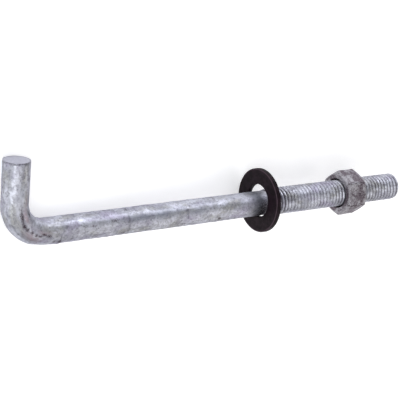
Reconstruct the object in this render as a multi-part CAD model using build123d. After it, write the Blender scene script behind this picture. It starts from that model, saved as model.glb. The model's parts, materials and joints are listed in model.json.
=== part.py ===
from build123d import *
import math
import os

# A J-shaped anchor bolt with its flat washer and hexagon nut, lying on a flat surface.
#
# The pieces are drawn in the bar's own frame and laid down at the end. In that frame the
# straight bar's axis is +X, towards the thread, and the short hooked leg's axis is +Y. The
# two axes cross at the origin. Laid down, the leg rests on the surface along its whole
# length, and the washer's rim props up the far end of the bar. Lengths are millimetres.

# Bar
SHANK_DIAMETER = 11.43        # plain bar, left at the pitch diameter by thread rolling
LENGTH_INSIDE_HOOK = 203.2    # from the leg's inner side to the free end, 8 inches
HOOK_LENGTH = 37.6            # from the bar's outer side to the leg's tip
BEND_INNER_RADIUS = 8.0
LEG_TIP_CHAMFER = 0.35        # edge broken by shearing and galvanising

# Thread, half-inch coarse
THREAD_MAJOR_DIAMETER = 12.7
THREAD_PITCH = 25.4 / 13      # thirteen threads to the inch
THREAD_DEPTH = 1.06            # five eighths of the sharp 60 degree form
THREAD_LENGTH = 82.1          # from the run-out's shank end to the free end
RUN_OUT_LENGTH = 3.6          # where the groove fades into the shank
POINT_CHAMFER = 1.45          # cone at the free end, deeper than the thread

# Flat washer, punched from sheet
WASHER_OUTER_DIAMETER = 29.6
WASHER_HOLE_DIAMETER = 15.1
WASHER_THICKNESS = 2.2
WASHER_ROLLED_EDGE = 0.35     # edges that the punch drew in, on the face towards the hook
WASHER_BURR_EDGE = 0.15       # edges of the other face
WASHER_FROM_THREAD = 0.6      # clear shank between the washer and the run-out
WASHER_SEAT_CLEARANCE = 0.15  # between the bar and the side of the hole that it lies in
WASHER_SEAT_ANGLE = 76.0      # side of the hole the bar lies in, about +X, from the lower side

# Hexagon nut
NUT_ACROSS_FLATS = 19.05
NUT_THICKNESS = 11.11
NUT_CHAMFER_SHARE = 0.95      # flat end face's diameter over the size across flats
NUT_CHAMFER_ANGLE = 30.0
NUT_COUNTERSINK = 0.55        # how far the mouth of the bore opens, in radius
NUT_BORE_CLEARANCE = 0.05     # between the thread's crest and the bore, in radius
NUT_FROM_FREE_END = 25.25     # thread that stands out beyond the nut
NUT_TURN = 50.0               # a corner's angle about +X, from the leg's direction

# Values worked out from the sizes above
shank_radius = SHANK_DIAMETER / 2
major_radius = THREAD_MAJOR_DIAMETER / 2
root_radius = major_radius - THREAD_DEPTH
bend_radius = BEND_INNER_RADIUS + shank_radius
free_end_x = shank_radius + LENGTH_INSIDE_HOOK
thread_start_x = free_end_x - THREAD_LENGTH
leg_tip_y = HOOK_LENGTH - shank_radius
washer_x = thread_start_x - WASHER_FROM_THREAD - WASHER_THICKNESS / 2
washer_offset = WASHER_HOLE_DIAMETER / 2 - shank_radius - WASHER_SEAT_CLEARANCE
washer_y = washer_offset * math.sin(math.radians(WASHER_SEAT_ANGLE))
washer_z = washer_offset * math.cos(math.radians(WASHER_SEAT_ANGLE))
nut_x = free_end_x - NUT_FROM_FREE_END - NUT_THICKNESS / 2
nut_bore_radius = major_radius + NUT_BORE_CLEARANCE


def along_x(shape, x=0.0):
    """Turn a shape drawn along +Z to lie along +X, starting at x."""
    return Pos(x, 0, 0) * Rot(0, 90, 0) * shape


def turned(*points):
    """A solid of revolution about Z from (radius, z) points, which start and end on the axis."""
    outline = Polyline(*points, close=True)
    return revolve(make_face(Plane.XZ * outline), Axis.Z)


def shank_with_nose():
    """The plain straight bar, and the tapering nose on which the thread's groove fades out."""
    buried = root_radius / 2
    slope = (shank_radius - root_radius) / RUN_OUT_LENGTH
    nose_length = (shank_radius - buried) / slope
    straight = thread_start_x - bend_radius
    bar = turned(
        (0, 0),
        (shank_radius, 0),
        (shank_radius, straight),
        (buried, straight + nose_length),
        (0, straight + nose_length),
    )
    return along_x(bar, bend_radius)


def bend():
    """The quarter turn between the bar and the leg."""
    section = Plane.YZ.offset(bend_radius) * Circle(shank_radius)
    centre_line = Axis((bend_radius, bend_radius, 0), (0, 0, -1))
    return revolve(section, centre_line, 90)


def leg():
    """The short leg, sheared square at its tip with the edge broken."""
    length = leg_tip_y - bend_radius
    tip_radius = shank_radius - LEG_TIP_CHAMFER
    bar = turned(
        (0, 0),
        (shank_radius, 0),
        (shank_radius, length - LEG_TIP_CHAMFER),
        (tip_radius, length),
        (0, length),
    )
    return Pos(0, bend_radius, 0) * Rot(-90, 0, 0) * bar


def helix(radius, start):
    """One turn of a right-hand helix about Z that begins at the height start."""
    return Edge.make_helix(THREAD_PITCH, THREAD_PITCH, radius, (0, 0, start))


def endless_thread(start, turns):
    """A solid V-thread about Z, closed at each end by a screw-shaped ramp to the axis.

    Each turn is two ruled flanks between the root's helix and the crest's.
    """
    roots = [helix(root_radius, start + turn * THREAD_PITCH) for turn in range(turns + 1)]
    crests = [helix(major_radius, start + (turn + 0.5) * THREAD_PITCH) for turn in range(turns)]
    faces = []
    for turn in range(turns):
        faces.append(Face.make_surface_from_curves(roots[turn], crests[turn]))
        faces.append(Face.make_surface_from_curves(crests[turn], roots[turn + 1]))
    for turn in (0, turns):
        foot = start + turn * THREAD_PITCH
        axis_edge = Edge.make_line((0, 0, foot), (0, 0, foot + THREAD_PITCH))
        faces.append(Face.make_surface_from_curves(axis_edge, roots[turn]))
    for foot in (start, start + turns * THREAD_PITCH):
        half = foot + THREAD_PITCH / 2
        top = foot + THREAD_PITCH
        corners = [(0, 0, foot), (root_radius, 0, foot), (major_radius, 0, half)]
        corners += [(root_radius, 0, top), (0, 0, top)]
        faces.append(Face(Wire.make_polygon(corners, close=True)))
    return Solid(Shell(faces))


def thread():
    """The threaded length: a cone opens the groove at the shank, and a cone ends it at the point."""
    point_radius = major_radius - POINT_CHAMFER
    rise = (major_radius - root_radius) / RUN_OUT_LENGTH
    start = -root_radius / 2 / rise
    envelope = turned(
        (0, start),
        (root_radius / 2, start),
        (major_radius, RUN_OUT_LENGTH),
        (major_radius, THREAD_LENGTH - POINT_CHAMFER),
        (point_radius, THREAD_LENGTH),
        (0, THREAD_LENGTH),
    )
    turns = math.ceil((THREAD_LENGTH - start) / THREAD_PITCH) + 2
    return along_x(endless_thread(start - THREAD_PITCH, turns) & envelope, thread_start_x)


def j_bolt():
    """Leg, bend, shank and rolled thread, formed from one bar."""
    return leg() + bend() + shank_with_nose() + thread()


def washer():
    """A punched ring, whose edges are drawn in on one face and only broken on the other."""
    outer = WASHER_OUTER_DIAMETER / 2
    hole = WASHER_HOLE_DIAMETER / 2
    ring = extrude(Circle(outer) - Circle(hole), WASHER_THICKNESS)
    hook_side_edges = ring.faces().sort_by(Axis.Z)[0].edges()
    ring = chamfer(hook_side_edges, WASHER_ROLLED_EDGE)
    nut_side_edges = ring.faces().sort_by(Axis.Z)[-1].edges()
    ring = chamfer(nut_side_edges, WASHER_BURR_EDGE)
    return Pos(0, washer_y, washer_z) * along_x(ring, washer_x - WASHER_THICKNESS / 2)


def hex_nut():
    """A hexagon nut chamfered on both faces, with a countersink at each end of its bore."""
    corner = NUT_ACROSS_FLATS / math.sqrt(3)
    face_radius = NUT_CHAMFER_SHARE * NUT_ACROSS_FLATS / 2
    drop = (corner - face_radius) * math.tan(math.radians(NUT_CHAMFER_ANGLE))
    block = extrude(RegularPolygon(corner, 6), NUT_THICKNESS)
    crown = turned(
        (0, 0),
        (face_radius, 0),
        (corner, drop),
        (corner, NUT_THICKNESS - drop),
        (face_radius, NUT_THICKNESS),
        (0, NUT_THICKNESS),
    )
    mouth_radius = nut_bore_radius + NUT_COUNTERSINK
    bore = turned(
        (0, 0),
        (mouth_radius, 0),
        (nut_bore_radius, NUT_COUNTERSINK),
        (nut_bore_radius, NUT_THICKNESS - NUT_COUNTERSINK),
        (mouth_radius, NUT_THICKNESS),
        (0, NUT_THICKNESS),
    )
    nut = (block & crown) - bore
    return Rot(NUT_TURN, 0, 0) * along_x(nut, nut_x - NUT_THICKNESS / 2)


def lying_angle():
    """How far the bar climbs, in degrees, with the leg and the washer's rim on one level."""
    reach = washer_x - WASHER_THICKNESS / 2 + WASHER_ROLLED_EDGE
    rim_depth = WASHER_OUTER_DIAMETER / 2 - washer_z
    direct = math.hypot(reach, rim_depth)
    return math.degrees(math.atan2(rim_depth, reach) - math.asin(shank_radius / direct))


def laid_down(pieces):
    """Tip the pieces about the leg's axis, and centre them over the origin with their feet at Z = 0."""
    tipped = {name: Rot(0, -lying_angle(), 0) * piece for name, piece in pieces.items()}
    box = Compound(children=[piece.moved(Location()) for piece in tipped.values()]).bounding_box()
    centre = box.center()
    to_origin = Pos(-centre.X, -centre.Y, -box.min.Z)
    return {name: to_origin * piece for name, piece in tipped.items()}


parts = laid_down({"j_bolt": j_bolt(), "washer": washer(), "hex_nut": hex_nut()})

os.makedirs("parts", exist_ok=True)
for name, piece in parts.items():
    piece.label = name
    export_step(piece, f"parts/{name}.step")
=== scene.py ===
import json
import math

import bpy
import numpy as np
from mathutils import Matrix, Vector

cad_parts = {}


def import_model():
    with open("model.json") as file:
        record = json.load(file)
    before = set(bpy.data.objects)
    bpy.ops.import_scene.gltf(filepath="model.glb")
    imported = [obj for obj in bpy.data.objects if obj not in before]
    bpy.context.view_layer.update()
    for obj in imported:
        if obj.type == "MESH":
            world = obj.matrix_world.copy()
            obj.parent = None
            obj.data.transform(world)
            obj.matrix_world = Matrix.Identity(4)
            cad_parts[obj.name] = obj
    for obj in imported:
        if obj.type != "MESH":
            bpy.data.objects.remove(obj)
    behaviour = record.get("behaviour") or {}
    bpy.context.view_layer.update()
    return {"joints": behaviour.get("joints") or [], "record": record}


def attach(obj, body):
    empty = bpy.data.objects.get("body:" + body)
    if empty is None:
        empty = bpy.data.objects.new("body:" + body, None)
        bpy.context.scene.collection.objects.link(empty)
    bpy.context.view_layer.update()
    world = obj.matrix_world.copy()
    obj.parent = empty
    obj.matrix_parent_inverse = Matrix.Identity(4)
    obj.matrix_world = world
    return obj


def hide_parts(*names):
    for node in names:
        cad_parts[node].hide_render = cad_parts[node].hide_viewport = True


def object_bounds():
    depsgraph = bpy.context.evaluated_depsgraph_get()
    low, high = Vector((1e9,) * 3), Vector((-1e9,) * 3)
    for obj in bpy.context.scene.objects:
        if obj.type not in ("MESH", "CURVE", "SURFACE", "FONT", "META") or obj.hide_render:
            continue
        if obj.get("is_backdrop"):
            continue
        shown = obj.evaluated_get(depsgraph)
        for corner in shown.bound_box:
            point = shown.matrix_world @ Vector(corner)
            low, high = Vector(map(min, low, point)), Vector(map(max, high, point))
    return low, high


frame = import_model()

# A hot-dip galvanised J-shaped anchor bolt with a dark washer and a galvanised nut.
# Shapes are made in the bar's own frame, in millimetres: X along the bar towards the thread,
# Y along the hooked leg, with the origin where the two axes cross.

MM = 0.001

# Bar
SHANK_RADIUS = 11.43 / 2
FREE_END = 208.915            # the free end's distance from the leg's axis
LEG_TIP = 31.885              # the leg tip's distance from the bar's axis
BEND_RADIUS = 8.0 + SHANK_RADIUS
TIP_ROUNDING = 0.55           # rim of the sheared leg tip
TIP_CROWN = 0.10              # how far the sheared face falls away towards its rim
TIP_ROUGHNESS = 0.03
# Painted shade on the rounded rim of the sheared leg tip
TIP_RIM_SHADE = 0.38
END_ROUGHNESS = 0.02          # of the threaded end's cut face

# Thread
MAJOR_RADIUS = 6.335
PITCH = 25.4 / 13
THREAD_START = FREE_END - 82.1
RUN_OUT = 3.6
THREAD_DEPTH = 1.0
CREST_HALF_WIDTH = 0.33
CREST_ROUNDING = 0.22
ROOT_ROUNDING = 0.30
FLANK_SLOPE = math.sqrt(3)
HELIX_START = THREAD_START - 8.983
POINT_CHAMFER = 1.45
POINT_ROUNDING = 0.25

# Share of the thread's depth that the zinc leaves open: midway, and what each end adds
OPEN_MIDWAY = 0.46
OPEN_BY_SHANK = 0.48
OPEN_BY_NUT = 0.24
OPEN_UNEVEN = 0.07
OPEN_LEAST = 0.3

# Random waves in the bar's zinc: heights, and sizes across
LONG_WAVES = 0.030
LONG_WAVE_SIZE = 5.0
FINE_WAVES = 0.022
FINE_WAVE_SIZE = 1.7
FINE_ON_THREAD = 0.3          # share of the fine waves that shows on the thread
BEND_WAVES = 0.05
BEND_WAVE_SIZE = 3.0

# Places on the bar below are a distance along the straightened bar, in millimetres, and an angle
# from its inner side, in degrees.

# The crease beside the bend, and the low ridge beside the crease
SEAM_ALONG = (-10.0, -7.0, -3.0, 0.0, 3.0, 7.0)
SEAM_ANGLE = (84.0, 87.0, 92.0, 97.0, 100.0, 97.0)
SEAM_DEPTH = 0.10
SEAM_WIDTH = 0.7
SEAM_STAIN = 0.6
RIDGE_HEIGHT = 0.08
RIDGE_WIDTH = 0.9
RIDGE_TURN = 0.25             # radians round the bar from the crease

# Lumps and flats in the zinc: distance along, angle, length, width and height
BAR_BUMPS = (
    (18.6, 146, 1.1, 1.0, 0.30),
    (16.2, 152, 0.8, 0.8, 0.18),
    (11.5, 150, 2.2, 3.0, -0.36),
    (7.2, 92, 0.6, 0.5, 0.16),
    (4.6, 88, 0.5, 0.5, 0.12),
    (-1.2, 95, 0.9, 0.5, 0.12),
    (-19.0, 46, 0.7, 0.5, 0.16),
    (10.8, 90, 0.6, 0.6, 0.12),
    (43.0, 158, 1.0, 0.7, 0.14),
    (99.0, 148, 1.0, 0.7, 0.16),
)

# Purple-brown stains and paler flushed patches: distance along, angle, length, width, strength
STAINS = (
    (-3.6, 90, 3.0, 0.9, 0.95),
    (0.8, 97, 1.2, 0.9, 1.0),
    (3.0, 96, 0.8, 0.9, 1.0),
    (5.3, 93, 0.6, 1.0, 1.0),
    (7.4, 95, 0.7, 0.8, 0.95),
    (9.4, 95, 1.4, 0.6, 0.85),
    (11.2, 85, 1.5, 0.6, 0.9),
    (13.4, 92, 1.4, 0.8, 0.9),
    (16.3, 128, 1.0, 0.7, 0.85),
    (19.1, 104, 0.5, 3.0, 0.55),
    (19.1, 129, 1.2, 1.1, 1.0),
    (24.5, 118, 1.4, 0.9, 0.5),
    (-3.0, 52, 3.4, 0.6, 0.8),
    (-9.0, 47, 4.5, 0.45, 0.55),
    (-19.0, 56, 0.6, 1.2, 0.6),
    (-24.8, 208, 0.9, 1.6, 0.95),
    (26.8, 95, 0.8, 1.4, 0.5),
    (29.9, 70, 1.0, 0.6, 0.55),
    (34.2, 73, 0.6, 0.6, 0.75),
    (37.7, 13, 1.0, 0.9, 0.6),
    (36.5, 130, 1.4, 0.5, 0.6),
    (40.0, 92, 0.7, 0.6, 0.45),
    (44.7, 62, 2.4, 1.1, 0.6),
    (47.6, 90, 0.5, 1.8, 0.55),
    (49.6, 131, 1.5, 0.8, 0.85),
    (63.6, 60, 0.6, 0.6, 0.7),
    (73.0, 108, 1.0, 2.4, 0.35),
    (77.9, 106, 2.0, 1.8, 0.50),
    (80.4, 122, 2.0, 0.8, 0.65),
    (98.0, 15, 0.9, 1.2, 0.6),
    (99.7, 122, 1.1, 1.4, 0.85),
    (104.5, 130, 1.8, 0.5, 0.5),
)
FLUSHES = (
    (-2.8, 73, 3.2, 1.1, 0.95),
    (6.3, 113, 3.4, 1.6, 0.8),
    (10.8, 79, 3.0, 0.8, 0.7),
    (-8.0, 62, 5.0, 0.7, 0.5),
)
# Bluer, smoother zinc: distance along, angle, length, width, strength
SLATES = (
    (58.0, 64, 7.0, 1.7, 0.75),
    (69.0, 60, 8.0, 2.2, 0.8),
    (88.0, 70, 4.0, 1.6, 0.5),
    (-14.0, 84, 3.5, 1.5, 0.6),
    (122.0, 40, 3.0, 5.0, 0.8),
)

# Faint rings part of the way round the bar: distance along, first and last angle, depth
RINGS = (
    (51.9, 1, 150, 0.05),
    (82.2, 52, 100, 0.045),
)
RING_WIDTH = 0.35
RING_FADE = 12                # degrees over which a ring fades at each end
RING_DIRT = 9                 # darkness for each millimetre of a ring's depth
RING_DIRT_WIDTH = 0.55

# Painted shade and painted reflection of the dark washer on the shank beside it: longest and
# darkest at its own angle round the bar
WASHER_SHADE_LENGTH = 6.5
WASHER_SHADE_EXTRA_LENGTH = 4.0
WASHER_SHADE_LEAST = 0.35
WASHER_SHADE_ANGLE = 115

# Washer
WASHER_OUTER = 29.6 / 2
WASHER_HOLE = 15.1 / 2
WASHER_THICKNESS = 2.2
WASHER_HOOK_FACE = THREAD_START - 0.6 - WASHER_THICKNESS
WASHER_OFFSET = WASHER_HOLE - SHANK_RADIUS - 0.15
WASHER_SEAT_ANGLE = math.radians(76.0)
WASHER_ROLLED = 0.42          # rounded edges of the hook-side face
WASHER_BURR = 0.16            # smaller edges of the other face

# Nut
NUT_APOTHEM = 19.05 / 2
NUT_THICKNESS = 11.11
NUT_HOOK_FACE = FREE_END - 25.25 - NUT_THICKNESS
NUT_FACE_RADIUS = 0.95 * NUT_APOTHEM
NUT_BORE = 6.40
NUT_MOUTH = 0.75              # how much wider than the bore each mouth is, in radius
NUT_THREAD_DEPTH = 0.62
NUT_SLOPE = 1.1               # slope of the nut's thread and mouths
NUT_CHAMFER_ANGLE = math.radians(30.0)
NUT_TURN = math.radians(50.0)
NUT_SHARPNESS = 70            # of the hexagon's corners

# Mesh fineness
AROUND_BAR = 96
AROUND_NUT = 144
AROUND_WASHER = 168
STEPS_PER_PITCH = 16

# Camera
CAMERA_AT = Vector((-0.35151, 0.16400, 0.41394))
CAMERA_FORWARD = Vector((0.61689, -0.30390, -0.72601))
CAMERA_UP = Vector((0.12290, 0.94832, -0.29253))
CAMERA_LENS = 112.07
CAMERA_SENSOR = 36.0


def mount(name):
    return next(m for m in frame["record"]["mounts"] if m["name"] == name)


BAR_AXIS = np.array(frame["joints"][0]["axis"], float)
LEG_AXIS = np.array(mount("hook_leg")["axis"], float)
SIDE_AXIS = np.cross(BAR_AXIS, LEG_AXIS)
AXES = np.array([BAR_AXIS, LEG_AXIS, SIDE_AXIS])
CROSSING = np.array(mount("threaded_end")["pos_m"], float) - BAR_AXIS * FREE_END * MM


# ---------------------------------------------------------------- shapes

def placed(points):
    """Points in the bar's frame, in millimetres, as points in the model's frame, in metres."""
    return CROSSING + MM * (points @ AXES)


def lumps(points, size, seed, waves=40):
    """Smooth random heights of unit spread, with bumps about size millimetres across."""
    rng = np.random.default_rng(seed)
    ways = rng.normal(size=(waves, 3))
    ways /= np.linalg.norm(ways, axis=1, keepdims=True)
    lengths = size * rng.uniform(1.3, 3.0, (waves, 1))
    phases = rng.uniform(0, 2 * math.pi, waves)
    flat = points.reshape(-1, 3) @ (2 * math.pi * ways / lengths).T + phases
    return (np.cos(flat).sum(1) * math.sqrt(2 / waves)).reshape(points.shape[:-1])


def smooth_step(value, low, high):
    t = np.clip((value - low) / (high - low), 0, 1)
    return t * t * (3 - 2 * t)


def soft_min(a, b, width):
    """The lower of two heights, rounded where they cross."""
    h = np.clip(0.5 + 0.5 * (b - a) / width, 0, 1)
    return b + (a - b) * h - width * h * (1 - h)


def soft_max(a, b, width):
    return -soft_min(-a, -b, width)


def grid_faces(rows, columns, closed_rows=False):
    """Quads of a grid whose columns wrap round, and whose rows do too where asked."""
    last = rows if closed_rows else rows - 1
    row = np.arange(last)[:, None]
    column = np.arange(columns)[None, :]
    next_row = (row + 1) % rows
    next_column = (column + 1) % columns
    quads = [row * columns + column, row * columns + next_column]
    quads += [next_row * columns + next_column, next_row * columns + column]
    return np.stack([q + 0 * quads[0] for q in quads], -1).reshape(-1, 4).tolist()


def solid_volume(points, faces):
    """Six times the signed volume inside quads and triangles."""
    total = 0.0
    for size in (3, 4):
        chosen = np.array([f for f in faces if len(f) == size])
        if len(chosen):
            for k in range(1, size - 1):
                a, b, c = (points[chosen[:, i]] for i in (0, k, k + 1))
                total += np.einsum("ij,ij->i", a, np.cross(b, c)).sum()
    return total


def mesh_object(name, points, faces, attributes):
    """A smooth-shaded object whose faces look outwards, with its point attributes."""
    if solid_volume(points, faces) < 0:
        faces = [f[::-1] for f in faces]
    mesh = bpy.data.meshes.new(name)
    mesh.from_pydata(placed(points).tolist(), [], faces)
    mesh.polygons.foreach_set("use_smooth", [True] * len(faces))
    for key, values in attributes.items():
        flat = np.asarray(values, np.float32)
        if flat.ndim == 2:
            made = mesh.attributes.new(key, "FLOAT_VECTOR", "POINT")
            made.data.foreach_set("vector", flat.ravel())
        else:
            made = mesh.attributes.new(key, "FLOAT", "POINT")
            made.data.foreach_set("value", flat)
    mesh.update()
    piece = bpy.data.objects.new(name, mesh)
    bpy.context.scene.collection.objects.link(piece)
    return piece


# ---------------------------------------------------------------- the bolt

def thread_height(x, around):
    """How far the thread's surface lies under its crests."""
    turns = (x - HELIX_START) / PITCH - (around + math.pi / 2) / (2 * math.pi)
    from_crest = np.abs(turns - np.floor(turns) - 0.5) * PITCH
    flank = (from_crest - CREST_HALF_WIDTH) * FLANK_SLOPE
    below_crest = soft_max(flank, 0 * flank, CREST_ROUNDING)
    return soft_min(below_crest, THREAD_DEPTH + 0 * flank, ROOT_ROUNDING)


def thread_open(straight):
    """How much of the thread's depth the zinc leaves open, from the shank to the point."""
    x = straight[..., 0]
    uneven = OPEN_UNEVEN * lumps(straight * [1.0, 0.4, 0.4], 4.0, 11)
    by_shank = 1 - smooth_step(x, THREAD_START + 8, THREAD_START + 17)
    by_nut = smooth_step(x, NUT_HOOK_FACE - 12, NUT_HOOK_FACE)
    share = OPEN_MIDWAY + OPEN_BY_SHANK * by_shank + OPEN_BY_NUT * by_nut + uneven
    return np.clip(share, OPEN_LEAST, 1.0)


def centre_line():
    """Stations from the leg's tip to the free end: distance along, centre and inward direction."""
    bend_length = BEND_RADIUS * math.pi / 2
    leg_length = LEG_TIP - TIP_ROUNDING - BEND_RADIUS
    leg = np.linspace(-bend_length - leg_length, -bend_length, 27)[:-1]
    bend = np.linspace(-bend_length, 0, 33)[:-1]
    shank = np.linspace(0, THREAD_START - BEND_RADIUS, 163)[:-1]
    count = round((FREE_END - THREAD_START) / PITCH * STEPS_PER_PITCH)
    thread = np.linspace(THREAD_START - BEND_RADIUS, FREE_END - BEND_RADIUS, count + 1)
    distance = np.concatenate([leg, bend, shank, thread])
    turn = np.clip(-distance / BEND_RADIUS, 0, math.pi / 2)
    inward = np.stack([np.sin(turn), np.cos(turn), 0 * turn], -1)
    on_arc = BEND_RADIUS * (np.array([1.0, 1.0, 0.0]) - inward)
    past_bar = np.maximum(distance, 0)[:, None] * [1.0, 0.0, 0.0]
    past_leg = np.maximum(-distance - bend_length, 0)[:, None] * [0.0, 1.0, 0.0]
    return distance + BEND_RADIUS, on_arc + past_bar + past_leg, inward


def spot(along, around, at, angle, length, width):
    """A soft-edged patch on the straightened bar: 1 in its middle, at `angle` degrees."""
    turn = (around - math.radians(angle) + math.pi) % (2 * math.pi) - math.pi
    across = turn * SHANK_RADIUS / width
    return np.exp(-((along - at) / length) ** 2 - across ** 2)


def seam(along, around, width):
    """Nearness to the crease along the side of the bend."""
    path = np.interp(along, SEAM_ALONG, SEAM_ANGLE)
    ends = smooth_step(along, SEAM_ALONG[0], SEAM_ALONG[0] + 4)
    ends = ends * (1 - smooth_step(along, SEAM_ALONG[-1] - 5, SEAM_ALONG[-1]))
    across = (around - np.radians(path)) * SHANK_RADIUS / width
    return ends * np.exp(-across ** 2)


def bar_radius(along, around, straight):
    """The radius of the zinc surface at each point of the bar."""
    thread = MAJOR_RADIUS - thread_height(along, around) * thread_open(straight)
    point = MAJOR_RADIUS - POINT_CHAMFER + (FREE_END - along)
    thread = soft_min(thread, point, POINT_ROUNDING)
    cut = smooth_step(along, THREAD_START, THREAD_START + RUN_OUT)
    radius = SHANK_RADIUS + cut * (thread - SHANK_RADIUS)
    plain = 1 - cut
    in_bend = smooth_step(along, -14, -4) * (1 - smooth_step(along, 12, 26))
    fine = FINE_ON_THREAD + (1 - FINE_ON_THREAD) * plain
    radius = radius + plain * LONG_WAVES * lumps(straight, LONG_WAVE_SIZE, 1)
    radius = radius + fine * FINE_WAVES * lumps(straight, FINE_WAVE_SIZE, 2)
    radius = radius + plain * in_bend * BEND_WAVES * lumps(straight, BEND_WAVE_SIZE, 3)
    radius = radius - SEAM_DEPTH * seam(along, around, SEAM_WIDTH)
    radius = radius + RIDGE_HEIGHT * seam(along, around + RIDGE_TURN, RIDGE_WIDTH)
    for at, angle, length, width, height in BAR_BUMPS:
        radius = radius + height * spot(along, around, at, angle, length, width)
    for at, first, last, depth in RINGS:
        fade_in = smooth_step(around, math.radians(first), math.radians(first + RING_FADE))
        fade_out = smooth_step(around, math.radians(last - RING_FADE), math.radians(last))
        across = np.exp(-((along - at) / RING_WIDTH) ** 2)
        radius = radius - depth * (fade_in * (1 - fade_out)) * across
    return radius


def painted(straight, marks):
    """The strongest of several soft patches at each point of the straightened bar."""
    along = straight[:, 0]
    around = np.arctan2(straight[:, 2], straight[:, 1])
    total = 0 * along
    for at, angle, length, width, strength in marks:
        total = np.maximum(total, strength * spot(along, around, at, angle, length, width))
    return total


def bar_attributes(straight, groove, cut_face):
    """What the bar's material reads: straightened place, groove depth, patches and bare cuts."""
    along = straight[:, 0]
    around = np.arctan2(straight[:, 2], straight[:, 1])
    rings = 0 * along
    for at, first, last, depth in RINGS:
        inside = (around > math.radians(first)) & (around < math.radians(last))
        across = np.exp(-((along - at) / RING_DIRT_WIDTH) ** 2)
        rings = np.maximum(rings, inside * RING_DIRT * depth * across)
    crease = SEAM_STAIN * seam(along, around, SEAM_WIDTH)
    stain = np.maximum(painted(straight, STAINS), crease)
    # Painted shade: the shank darkens towards the washer, standing in for the washer's shade and
    # its dark reflection
    from_middle = np.abs(around - math.radians(WASHER_SHADE_ANGLE))
    outer = smooth_step(from_middle, math.radians(75), math.radians(20))
    start = THREAD_START - WASHER_SHADE_LENGTH - WASHER_SHADE_EXTRA_LENGTH * outer
    strength = WASHER_SHADE_LEAST + (1 - WASHER_SHADE_LEAST) * outer
    washer_shade = smooth_step(along, start, THREAD_START - 2.0) * strength
    washer_shade = washer_shade * (1 - smooth_step(along, THREAD_START - 0.5, THREAD_START + 1.5))
    return {
        "straight": straight,
        "groove": groove,
        "stain": stain,
        "flush": painted(straight, FLUSHES),
        "slate": painted(straight, SLATES),
        # Dirt in the rings, together with the painted shade beside the washer
        "ring_dirt_and_shade": np.maximum(rings, washer_shade),
        "cut_face": cut_face,
    }


def j_bolt():
    """The bar as one closed skin: sheared leg tip, leg, bend, shank, thread and point."""
    along, centre, inward = centre_line()
    around = np.linspace(0, 2 * math.pi, AROUND_BAR, endpoint=False)
    ring = np.stack([0 * around, np.cos(around), np.sin(around)], -1)
    straight = ring[None] * SHANK_RADIUS + along[:, None, None] * [1.0, 0.0, 0.0]
    radius = bar_radius(along[:, None], around[None], straight)
    out = inward[:, None] * np.cos(around)[None, :, None]
    out = out + np.array([0.0, 0.0, 1.0]) * np.sin(around)[None, :, None]
    side = centre[:, None] + radius[..., None] * out
    depth = thread_height(along[:, None], around) * thread_open(straight)
    depth = depth * (along[:, None] > THREAD_START)
    tip, tip_straight = leg_tip(radius[0], around, straight[0])
    end, end_straight = free_end(radius[-1], around, straight[-1])
    rows = np.concatenate([tip, side, end])
    straight = np.concatenate([tip_straight, straight, end_straight])
    groove = np.concatenate([np.zeros(tip.shape[:2]), depth, np.zeros(end.shape[:2])])
    count, columns = rows.shape[:2]
    points = np.concatenate([rows.reshape(-1, 3), rows[0].mean(0)[None], rows[-1].mean(0)[None]])
    straight = np.concatenate([straight.reshape(-1, 3), straight[0].mean(0)[None]])
    straight = np.concatenate([straight, straight[-columns - 1:-1].mean(0)[None]])
    groove = np.concatenate([groove.ravel(), [0, 0]])
    cut_face = np.zeros(len(points))
    cut_face[:len(tip[:-3]) * columns] = 1
    cut_face[-2] = 1
    rim = np.zeros(len(points))
    rim[(len(tip) - 4) * columns:(len(tip) + 1) * columns] = 1
    faces = grid_faces(count, columns)
    first_pole, last_pole = count * columns, count * columns + 1
    start = (count - 1) * columns
    for k in range(columns):
        after = (k + 1) % columns
        faces.append([first_pole, after, k])
        faces.append([last_pole, start + k, start + after])
    attributes = bar_attributes(straight, groove, cut_face)
    # Painted shade darkens the tip's rounded rim
    attributes["stain"] = np.maximum(attributes["stain"], TIP_RIM_SHADE * rim)
    return mesh_object("galvanised_j_bolt", points, faces, attributes)


def leg_tip(radius, around, straight):
    """Rows from the middle of the sheared face out to its rounded rim."""
    middle = np.array([0.0, LEG_TIP, 0.0])
    shares = np.concatenate([np.linspace(0.06, 0.82, 12), [0.88]])
    rows = []
    flats = []
    spread = np.stack([np.cos(around), 0 * around, np.sin(around)], -1)
    for share in shares:
        reach = share * (radius - TIP_ROUNDING)
        row = middle + spread * reach[:, None]
        row[:, 1] -= TIP_CROWN * share ** 4 + TIP_ROUGHNESS * (1 + lumps(row, 2.2, 21))
        rows.append(row)
        flats.append(straight * [1, share, share] - [TIP_ROUNDING + (1 - share) * 5, 0, 0])
    for angle in np.radians([84, 62, 40, 18]):
        inset = TIP_ROUNDING * (1 - math.cos(math.pi / 2 - angle))
        row = spread * (radius - inset)[:, None]
        row[:, 1] = LEG_TIP - inset
        rows.append(row)
        flats.append(straight - [TIP_ROUNDING * 0.5, 0, 0])
    return np.array(rows), np.array(flats)


def free_end(radius, around, straight):
    """Rows from the rim of the threaded point to the middle of its cut face."""
    rows = []
    flats = []
    middle = np.array([FREE_END, 0.0, 0.0])
    spread = np.stack([0 * around, np.cos(around), np.sin(around)], -1)
    for share in np.concatenate([[0.985], np.linspace(0.95, 0.08, 12)]):
        row = middle + spread * (radius * share)[:, None]
        row[:, 0] -= END_ROUGHNESS * (1 + lumps(row, 1.8, 22)) * (share < 0.98)
        rows.append(row)
        flats.append(straight * [1, share, share] + [(1 - share) * 5, 0, 0])
    return np.array(rows), np.array(flats)


# ---------------------------------------------------------------- the nut

def hexagon_radius(around):
    """Radius of a hexagon with softly rounded corners, one corner at the nut's turn."""
    total = 0
    for k in range(6):
        facing = np.cos(around - NUT_TURN - math.radians(30 + 60 * k))
        total = total + np.maximum(facing, 0) ** NUT_SHARPNESS
    return NUT_APOTHEM * total ** (-1 / NUT_SHARPNESS)


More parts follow.
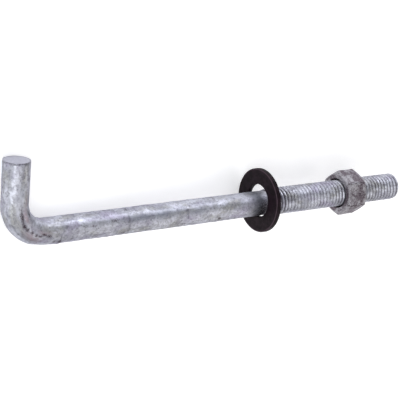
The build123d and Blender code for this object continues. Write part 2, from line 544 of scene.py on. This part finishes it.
def bore_radius(x, around):
    """The nut's thread, cut outwards from the bore, with a countersunk mouth at each end."""
    turns = (x + NUT_HOOK_FACE - HELIX_START) / PITCH - (around + math.pi / 2) / (2 * math.pi)
    from_root = np.abs(turns - np.floor(turns) - 0.5) * PITCH
    cut = soft_max(NUT_THREAD_DEPTH - from_root * NUT_SLOPE, 0 * from_root, 0.2)
    inset = np.minimum(x, NUT_THICKNESS - x)
    mouth = NUT_BORE + NUT_MOUTH - inset * NUT_SLOPE
    return soft_max(NUT_BORE + cut, mouth + 0 * cut, 0.12)


def hex_nut():
    """A hexagon nut as one skin: bore thread, two faces, two chamfers and six flats."""
    around = np.linspace(0, 2 * math.pi, AROUND_NUT, endpoint=False)
    corner = hexagon_radius(around)
    bore_rows = round(NUT_THICKNESS / PITCH * 12)
    bore_x = NUT_THICKNESS * np.linspace(1, 0, bore_rows)
    cone = math.tan(NUT_CHAMFER_ANGLE)
    face_shares = (0.03, 0.2, 0.45, 0.7, 0.9, 0.975)
    rows = [(x + 0 * around, bore_radius(x, around)) for x in bore_x]
    mouth = bore_radius(0, around)
    for share in face_shares:
        rows.append((0 * around, mouth + share * (NUT_FACE_RADIUS - mouth)))
    side_x = np.array([0, 0.05, 0.15, 0.3, 0.5, 0.7, 0.9, 1.1, 1.35, 1.7, 2.3, 3.3, 4.4])
    side_x = np.concatenate([side_x, [NUT_THICKNESS / 2], NUT_THICKNESS - side_x[::-1]])
    for x in side_x:
        inset = min(x, NUT_THICKNESS - x)
        chamfer = NUT_FACE_RADIUS + inset / cone + 0 * around
        rows.append((x + 0 * around, soft_min(chamfer, corner, 0.30)))
    for share in reversed(face_shares):
        rows.append((NUT_THICKNESS + 0 * around, mouth + share * (NUT_FACE_RADIUS - mouth)))
    x = np.array([r[0] for r in rows]) + NUT_HOOK_FACE
    radius = np.array([r[1] for r in rows])
    points = np.stack([x, radius * np.cos(around), radius * np.sin(around)], -1)
    outside = (np.arange(len(rows)) >= bore_rows)[:, None]
    radius = radius + outside * (0.035 * lumps(points, 3.0, 31) + 0.015 * lumps(points, 1.2, 32))
    x = x + outside * 0.02 * lumps(points, 2.2, 33)
    points = np.stack([x, radius * np.cos(around), radius * np.sin(around)], -1)
    # Rows of the bore, which the material darkens with painted shade
    inside = (~outside + 0 * radius).ravel()
    faces = grid_faces(len(rows), AROUND_NUT, closed_rows=True)
    local = points.reshape(-1, 3) - [NUT_HOOK_FACE, 0, 0]
    turn = (around[None] - NUT_TURN + 0 * radius).ravel()
    corner_edge = np.abs((turn + math.pi / 6) % (math.pi / 3) - math.pi / 6) * NUT_APOTHEM
    brown = 0.55 * np.exp(-(corner_edge / 0.5) ** 2) * (radius.ravel() > NUT_FACE_RADIUS)
    brown = brown + 0.35 * np.exp(-(np.abs(turn - math.radians(30)) / 0.5) ** 2)
    near_face = np.abs(local[:, 0] - NUT_THICKNESS / 2) > NUT_THICKNESS / 2 - 1.2
    chamfered = near_face & (inside < 0.5)
    # Painted sheen: the chamfers are paler all round
    bright = 0.7 * chamfered * (radius.ravel() > NUT_FACE_RADIUS - 0.1)
    attributes = {"straight": local, "groove": inside, "brown": brown, "bright": bright}
    return mesh_object("galvanised_hex_nut", points.reshape(-1, 3), faces, attributes)


# ---------------------------------------------------------------- the washer

def washer_section():
    """The washer's section as (x, radius), from the hole round by the hook-side face."""
    rolled = WASHER_ROLLED
    burr = WASHER_BURR
    thick = WASHER_THICKNESS
    width = WASHER_OUTER - WASHER_HOLE
    wall = thick - rolled - burr
    section = [(rolled - rolled * math.sin(a), WASHER_HOLE + rolled - rolled * math.cos(a))
               for a in np.linspace(0, math.pi / 2, 6)]
    for share in np.linspace(0, 1, 14)[1:-1]:
        section.append((0.0, WASHER_HOLE + rolled + share * (width - 2 * rolled)))
    section += [(rolled - rolled * math.cos(a), WASHER_OUTER - rolled + rolled * math.sin(a))
                for a in np.linspace(0, math.pi / 2, 6)]
    for share in (0.25, 0.5, 0.75):
        section.append((rolled + share * wall, WASHER_OUTER))
    section += [(thick - burr + burr * math.sin(a), WASHER_OUTER - burr + burr * math.cos(a))
                for a in np.linspace(0, math.pi / 2, 4)]
    for share in np.linspace(1, 0, 14)[1:-1]:
        section.append((thick, WASHER_HOLE + burr + share * (width - 2 * burr)))
    section += [(thick - burr + burr * math.cos(a), WASHER_HOLE + burr - burr * math.sin(a))
                for a in np.linspace(0, math.pi / 2, 4)]
    for share in (0.75, 0.5, 0.25):
        section.append((rolled + share * wall, WASHER_HOLE))
    return np.array(section)


def flat_washer():
    """A punched ring with rounded edges on its hook-side face and smaller ones on the other."""
    section = washer_section()
    around = np.linspace(0, 2 * math.pi, AROUND_WASHER, endpoint=False)
    x = section[:, 0][:, None] + 0 * around
    radius = section[:, 1][:, None] + 0 * around
    points = np.stack([x, radius * np.cos(around), radius * np.sin(around)], -1)
    wall = np.minimum(np.abs(radius - WASHER_HOLE), np.abs(radius - WASHER_OUTER)) < 0.01
    radius = radius + wall * 0.02 * lumps(points * [0.5, 1, 1], 0.9, 41)
    face = 1 - wall
    x = x + face * (0.016 * lumps(points * [0, 1, 1], 6.0, 42) + 0.006 * lumps(points, 1.2, 43))
    local = np.stack([x, radius * np.cos(around), radius * np.sin(around)], -1)
    seat = WASHER_OFFSET * np.array([0.0, math.sin(WASHER_SEAT_ANGLE), math.cos(WASHER_SEAT_ANGLE)])
    points = local + seat + [WASHER_HOOK_FACE, 0, 0]
    faces = grid_faces(len(section), AROUND_WASHER, closed_rows=True)
    # Painted highlight: a pale band just inside the washer's outer edge
    rim = smooth_step(radius, WASHER_OUTER - 0.75, WASHER_OUTER - 0.30)
    rim = rim * (1 - smooth_step(radius, WASHER_OUTER - 0.20, WASHER_OUTER))
    attributes = {"straight": local.reshape(-1, 3), "rim": rim.ravel()}
    return mesh_object("dark_flat_washer", points.reshape(-1, 3), faces, attributes)


# ---------------------------------------------------------------- materials

def srgb(red, green, blue):
    """A display colour of 0 to 255 as the linear colour that a shader takes."""
    linear = []
    for value in (red, green, blue):
        share = value / 255
        linear.append(share / 12.92 if share <= 0.04045 else ((share + 0.055) / 1.055) ** 2.4)
    return (*linear, 1.0)


class Tree:
    """A material's node tree with short calls for the nodes that these surfaces use."""

    def __init__(self, name):
        self.material = bpy.data.materials.new(name)
        self.material.use_nodes = True
        self.tree = self.material.node_tree
        self.shader = self.tree.nodes["Principled BSDF"]

    def node(self, kind, inputs, **settings):
        made = self.tree.nodes.new("ShaderNode" + kind)
        for key, value in settings.items():
            setattr(made, key, value)
        for socket, value in inputs.items():
            self.feed(made.inputs[socket], value)
        return made

    def feed(self, socket, value):
        if isinstance(value, bpy.types.NodeSocket):
            self.tree.links.new(value, socket)
        else:
            socket.default_value = value

    def read(self, name, output="Fac"):
        return self.node("Attribute", {}, attribute_name=name).outputs[output]

    def stretched(self, vector, scale):
        inputs = {"Vector": vector, "Scale": scale}
        return self.node("Mapping", inputs).outputs["Vector"]

    def noise(self, vector, scale, detail=4.0, rough=0.55, bend=0.0):
        inputs = {"Vector": vector, "Scale": scale, "Detail": detail}
        inputs.update({"Roughness": rough, "Distortion": bend})
        return self.node("TexNoise", inputs).outputs["Fac"]

    def cells(self, vector, scale, output="Color"):
        inputs = {"Vector": vector, "Scale": scale}
        return self.node("TexVoronoi", inputs).outputs[output]

    def spread(self, value, low, high, to_low=0.0, to_high=1.0):
        inputs = {"Value": value, "From Min": low, "From Max": high}
        inputs.update({"To Min": to_low, "To Max": to_high})
        made = self.node("MapRange", inputs, interpolation_type="SMOOTHSTEP")
        return made.outputs["Result"]

    def calc(self, operation, a, b):
        made = self.node("Math", {0: a, 1: b}, operation=operation, use_clamp=False)
        return made.outputs[0]

    def mix(self, share, a, b, blend="MIX"):
        made = self.node("Mix", {}, data_type="RGBA", blend_type=blend)
        self.feed(made.inputs["Factor"], share)
        self.feed(made.inputs[6], a)
        self.feed(made.inputs[7], b)
        return made.outputs[2]

    def bump(self, height, strength, distance):
        inputs = {"Height": height, "Strength": strength, "Distance": distance}
        return self.node("Bump", inputs).outputs["Normal"]


ZINC = (srgb(206, 208, 219), srgb(174, 175, 187), srgb(112, 111, 121), srgb(58, 44, 52))
NUT_ZINC = (srgb(180, 178, 184), srgb(116, 107, 115), srgb(82, 70, 78), srgb(44, 31, 37))
LILAC = srgb(186, 179, 204)
OLIVE = srgb(168, 168, 162)
SLATE = srgb(136, 141, 154)
FLUSH_COLOUR = srgb(172, 154, 162)
# One dark colour for the dirt in the rings and the painted shade beside the washer
DIRT_AND_SHADE_COLOUR = srgb(48, 44, 52)
CUT_COLOUR = srgb(186, 186, 199)
OXIDE = (srgb(12, 3, 9), srgb(26, 10, 21))
OXIDE_SPECK = srgb(62, 50, 60)
OXIDE_RIM_HIGHLIGHT = srgb(92, 76, 86)

# How metallic each finish is, and its gloss
EDGE_TINT = (0.5, 0.5, 0.52, 1.0)
ZINC_METALLIC = 0.80
CUT_METALLIC_LOSS = 0.45
ZINC_ROUGHNESS = (0.53, 0.40)
NUT_METALLIC = 0.72
NUT_ROUGHNESS = (0.60, 0.42)
OXIDE_METALLIC = 0.05
OXIDE_SPECULAR = 0.13
OXIDE_ROUGHNESS = (0.66, 0.52)


def zinc_clouds(t, place, light, middle, dark):
    """Hot-dip zinc's own pattern: cloudy patches, streaks, flat crystals and a fine grain."""
    clouds = t.noise(t.stretched(place, (0.45, 1.0, 1.0)), 0.26, 4.0, 0.60, 0.5)
    streaks = t.noise(t.stretched(place, (0.16, 1.0, 1.0)), 0.85, 3.0, 0.55)
    grain = t.noise(place, 0.95, 4.0, 0.68)
    flakes = t.node("SeparateColor", {"Color": t.cells(place, 0.62)}).outputs[0]
    hues = t.noise(t.stretched(place, (0.5, 1.0, 1.0)), 0.15, 2.0, 0.5)
    colour = t.mix(t.spread(hues, 0.50, 0.64, 0.0, 0.55), middle, LILAC)
    colour = t.mix(t.spread(hues, 0.50, 0.38, 0.0, 0.60), colour, OLIVE)
    colour = t.mix(t.spread(clouds, 0.40, 0.62), colour, light)
    colour = t.mix(t.spread(streaks, 0.50, 0.72, 0.0, 0.35), colour, dark)
    colour = t.mix(t.spread(flakes, 0.0, 1.0, 0.0, 0.30), colour, dark)
    colour = t.mix(t.spread(grain, 0.50, 0.66, 0.0, 0.60), colour, dark)
    colour = t.mix(t.spread(grain, 0.44, 0.32, 0.0, 0.55), colour, light)
    return colour, clouds, grain


def galvanised(name, light, middle, dark, stain):
    """Hot-dip zinc with painted shade in the grooves, brown stains, bluer patches and a sheared
    tip.
    """
    t = Tree(name)
    place = t.read("straight", "Vector")
    colour, clouds, grain = zinc_clouds(t, place, light, middle, dark)
    specks = t.noise(place, 2.1, 3.0, 0.55)
    colour = t.mix(t.spread(specks, 0.63, 0.72, 0.0, 0.65), colour, stain)
    colour = t.mix(t.calc("MULTIPLY", t.read("slate"), 0.75), colour, SLATE)
    flush = t.calc("MULTIPLY", t.read("flush"), t.spread(grain, 0.36, 0.60, 0.4, 1.0))
    colour = t.mix(flush, colour, FLUSH_COLOUR)
    ragged = t.spread(specks, 0.34, 0.60, 0.60, 1.25)
    stained = t.calc("MULTIPLY", t.read("stain"), ragged)
    colour = t.mix(t.spread(stained, 0.12, 0.95, 0.0, 0.92), colour, stain)
    # Dirt in the rings and painted shade beside the washer
    colour = t.mix(t.calc("MULTIPLY", t.read("ring_dirt_and_shade"), ragged), colour, DIRT_AND_SHADE_COLOUR)
    # Painted shade: the thread's grooves darken with their open depth
    colour = t.mix(t.spread(t.read("groove"), 0.12, 0.80, 0.0, 0.88), colour, stain)
    colour = t.mix(t.calc("MULTIPLY", t.read("cut_face"), 0.8), colour, CUT_COLOUR)
    t.feed(t.shader.inputs["Base Color"], colour)
    t.feed(t.shader.inputs["Roughness"], t.spread(clouds, 0.3, 0.7, *ZINC_ROUGHNESS))
    bare = t.calc("MULTIPLY", t.read("cut_face"), -CUT_METALLIC_LOSS)
    t.feed(t.shader.inputs["Metallic"], t.calc("ADD", bare, ZINC_METALLIC))
    t.shader.inputs["Specular Tint"].default_value = EDGE_TINT
    height = t.calc("ADD", grain, t.calc("MULTIPLY", specks, 0.35))
    t.feed(t.shader.inputs["Normal"], t.bump(height, 0.45, 0.00016))
    return t.material


def stained_galvanised(name, light, middle, dark, stain):
    """The nut's zinc: duller, browner, with pale flecks over dark stains."""
    t = Tree(name)
    place = t.read("straight", "Vector")
    clouds = t.noise(place, 0.20, 3.0, 0.55, 0.4)
    grain = t.noise(place, 0.95, 5.0, 0.72)
    flecks = t.noise(place, 1.55, 4.0, 0.65)
    # Pale clouds, and the painted sheen on the chamfers
    bright = t.calc("MAXIMUM", t.spread(clouds, 0.45, 0.60), t.read("bright"))
    colour = t.mix(bright, middle, light)
    colour = t.mix(t.spread(grain, 0.50, 0.62, 0.0, 0.70), colour, dark)
    colour = t.mix(t.spread(flecks, 0.57, 0.66, 0.0, 0.85), colour, stain)
    colour = t.mix(t.spread(flecks, 0.44, 0.36, 0.0, 0.65), colour, light)
    ragged = t.spread(flecks, 0.34, 0.60, 0.35, 1.25)
    brown = t.calc("MULTIPLY", t.read("brown"), ragged)
    colour = t.mix(t.spread(brown, 0.1, 1.0, 0.0, 0.85), colour, stain)
    # Painted shade: the bore is darkened all through
    colour = t.mix(t.spread(t.read("groove"), 0.3, 0.9, 0.0, 0.95), colour, stain)
    t.feed(t.shader.inputs["Base Color"], colour)
    t.feed(t.shader.inputs["Roughness"], t.spread(grain, 0.3, 0.7, *NUT_ROUGHNESS))
    t.shader.inputs["Metallic"].default_value = NUT_METALLIC
    t.shader.inputs["Specular Tint"].default_value = EDGE_TINT
    height = t.calc("ADD", grain, t.calc("MULTIPLY", flecks, 0.6))
    t.feed(t.shader.inputs["Normal"], t.bump(height, 0.7, 0.00035))
    return t.material


def dark_oxide(name):
    """Black-brown oxide on punched steel, with a painted highlight along the rim."""
    t = Tree(name)
    place = t.read("straight", "Vector")
    clouds = t.noise(place, 0.35, 5.0, 0.6)
    grain = t.noise(place, 2.2, 3.0, 0.6)
    colour = t.mix(t.spread(clouds, 0.35, 0.65), *OXIDE)
    colour = t.mix(t.spread(grain, 0.60, 0.72, 0.0, 0.4), colour, OXIDE_SPECK)
    # Painted highlight along the rim
    colour = t.mix(t.spread(t.read("rim"), 0.2, 0.9, 0.0, 0.55), colour, OXIDE_RIM_HIGHLIGHT)
    t.feed(t.shader.inputs["Base Color"], colour)
    t.feed(t.shader.inputs["Roughness"], t.spread(clouds, 0.3, 0.7, *OXIDE_ROUGHNESS))
    t.shader.inputs["Metallic"].default_value = OXIDE_METALLIC
    t.shader.inputs["Specular IOR Level"].default_value = OXIDE_SPECULAR
    t.feed(t.shader.inputs["Normal"], t.bump(grain, 0.25, 0.0001))
    return t.material


# ---------------------------------------------------------------- stage, light and camera

FLOOR_COLOUR = (0.80, 0.80, 0.81, 1.0)
FLOOR_HALF = 40.0             # metres from the middle to each edge
FLOOR_GAP = 0.0002
FLOOR_GLOW = 0.44             # for camera and glossy rays, near the object
GLOW_NEAR = 0.45              # metres: from here the glow rises to 1
GLOW_FAR = 1.6
WORLD_COLOUR = (0.95, 0.97, 1.0, 1.0)
WORLD_LEVEL = 0.18

# name: (azimuth from +X and elevation in degrees, distance, width, height, watts, colour)
LAMPS = {
    "key": (84, 20, 1.0, 1.5, 0.55, 7.8, (0.94, 0.95, 1.0)),
    "left": (186, 36, 1.0, 0.7, 0.9, 4.6, (0.98, 1.0, 0.99)),
    "back_left": (228, 36, 1.0, 0.5, 0.5, 1.3, (1.0, 0.99, 0.97)),
    "top": (250, 68, 1.0, 0.6, 0.6, 1.5, (1.0, 0.98, 0.96)),
    "fill": (315, 22, 1.0, 0.9, 0.9, 3.0, (1.0, 0.97, 0.93)),
    "far_fill": (352, 52, 1.0, 0.6, 0.6, 1.5, (1.0, 0.97, 0.95)),
}


def floor():
    """A plain white floor that takes the object's shadow."""
    t = Tree("white_floor")
    t.shader.inputs["Base Color"].default_value = FLOOR_COLOUR
    t.shader.inputs["Roughness"].default_value = 0.9
    rays = t.node("LightPath", {}).outputs
    seen = t.calc("MAXIMUM", rays["Is Camera Ray"], rays["Is Glossy Ray"])
    seen = t.calc("MAXIMUM", seen, rays["Is Transmission Ray"])
    t.shader.inputs["Emission Color"].default_value = (1.0, 1.0, 1.0, 1.0)
    place = t.node("NewGeometry", {}).outputs["Position"]
    distance = t.node("VectorMath", {0: place}, operation="LENGTH").outputs["Value"]
    glow = t.spread(distance, GLOW_NEAR, GLOW_FAR, FLOOR_GLOW, 1.0)
    t.feed(t.shader.inputs["Emission Strength"], t.calc("MULTIPLY", seen, glow))
    half = FLOOR_HALF
    corners = [(-half, -half, 0), (half, -half, 0), (half, half, 0), (-half, half, 0)]
    mesh = bpy.data.meshes.new("floor")
    mesh.from_pydata(corners, [], [(0, 1, 2, 3)])
    made = bpy.data.objects.new("floor", mesh)
    made.location.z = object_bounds()[0].z - FLOOR_GAP
    bpy.context.scene.collection.objects.link(made)
    made.data.materials.append(t.material)
    made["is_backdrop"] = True


def lamp(name, azimuth, elevation, distance, width, height, watts, colour):
    data = bpy.data.lights.new(name, "AREA")
    data.shape = "RECTANGLE"
    data.size = width
    data.size_y = height
    data.energy = watts
    data.color = colour
    made = bpy.data.objects.new(name, data)
    across, up = math.radians(azimuth), math.radians(elevation)
    level = math.cos(up)
    way = Vector((math.cos(across) * level, math.sin(across) * level, math.sin(up)))
    made.location = way * distance
    made.rotation_mode = "QUATERNION"
    made.rotation_quaternion = way.to_track_quat("Z", "Y")
    bpy.context.scene.collection.objects.link(made)


def world():
    made = bpy.data.worlds.new("studio")
    made.use_nodes = True
    background = made.node_tree.nodes["Background"]
    background.inputs["Color"].default_value = WORLD_COLOUR
    background.inputs["Strength"].default_value = WORLD_LEVEL
    bpy.context.scene.world = made


def camera():
    data = bpy.data.cameras.new("camera")
    data.sensor_width = CAMERA_SENSOR
    data.lens = CAMERA_LENS
    data.clip_start = 0.01
    data.clip_end = 50
    made = bpy.data.objects.new("camera", data)
    back = -CAMERA_FORWARD.normalized()
    right = CAMERA_UP.cross(back).normalized()
    up = back.cross(right)
    turn = Matrix((right, up, back)).transposed().to_4x4()
    made.matrix_world = Matrix.Translation(CAMERA_AT) @ turn
    bpy.context.scene.collection.objects.link(made)
    bpy.context.scene.camera = made


# ---------------------------------------------------------------- assembly

def dress(piece, body, node, material):
    """Give a piece its material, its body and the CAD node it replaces."""
    piece.data.materials.append(material)
    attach(piece, body)
    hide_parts(node)


dress(j_bolt(), "bolt", "j_bolt", galvanised("galvanised_zinc", *ZINC))
dress(hex_nut(), "nut", "hex_nut", stained_galvanised("stained_zinc", *NUT_ZINC))
dress(flat_washer(), "washer", "washer", dark_oxide("dark_oxide"))

floor()
world()
for lamp_name, settings in LAMPS.items():
    lamp(lamp_name, *settings)
camera()
bpy.context.scene.view_settings.view_transform = "Standard"
